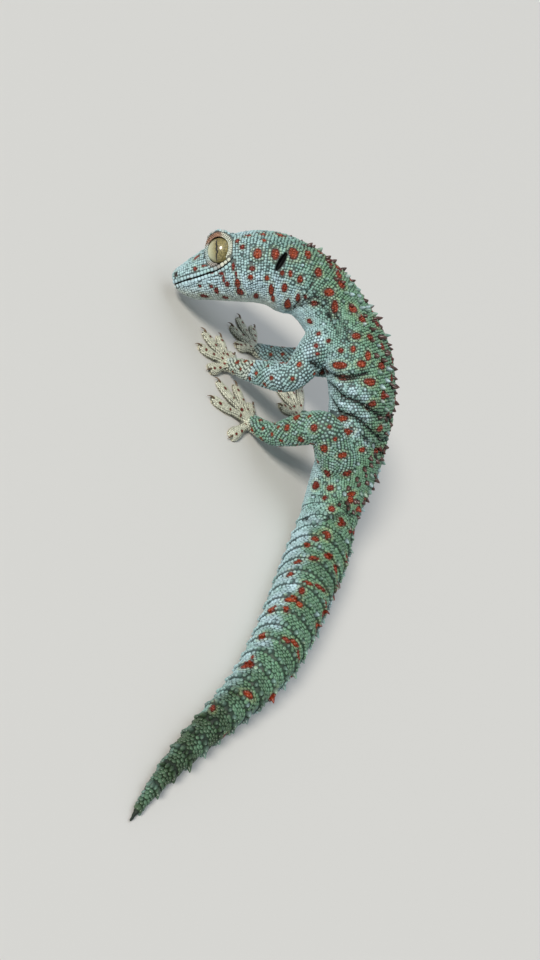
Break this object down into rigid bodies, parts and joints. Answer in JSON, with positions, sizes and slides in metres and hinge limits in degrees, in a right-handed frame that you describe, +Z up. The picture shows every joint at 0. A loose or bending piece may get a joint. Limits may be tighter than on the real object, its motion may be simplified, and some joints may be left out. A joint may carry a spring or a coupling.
{
  "type": "tokay gecko model",
  "caption": "Life-size still model of a spotted tokay gecko, arched on spread toe pads with its head bowed and its tail curved on the floor.",
  "frame": {"origin": "on the floor, under the middle of the model's box", "axes": "+Z up from the floor, -X the way the trunk faces, -Y the animal's left, the side its tail curves to"},
  "size_m": [0.1472, 0.1968, 0.0585],
  "materials": {
    "scaly_skin": "turquoise-grey granular scales with brick-orange spots",
    "toe_pads": "pale cream and olive, matte",
    "eye": "olive-gold, wet gloss"
  },
  "bodies": {
    "root": {"head": "scaly_skin", "jaw": "scaly_skin", "neck": "scaly_skin", "chest": "scaly_skin", "belly": "scaly_skin", "pelvis": "scaly_skin", "tail_1": "scaly_skin", "tail_2": "scaly_skin", "tail_3": "scaly_skin", "tail_4": "scaly_skin", "tail_5": "scaly_skin", "eye_left": "eye", "eye_right": "eye", "upper_arm_left": "scaly_skin", "forearm_left": "scaly_skin", "thigh_left": "scaly_skin", "shank_left": "scaly_skin", "hand_left": "toe_pads", "foot_left": "toe_pads", "upper_arm_right": "scaly_skin", "forearm_right": "scaly_skin", "thigh_right": "scaly_skin", "shank_right": "scaly_skin", "hand_right": "toe_pads", "foot_right": "toe_pads"}
  },
  "joints": []
}
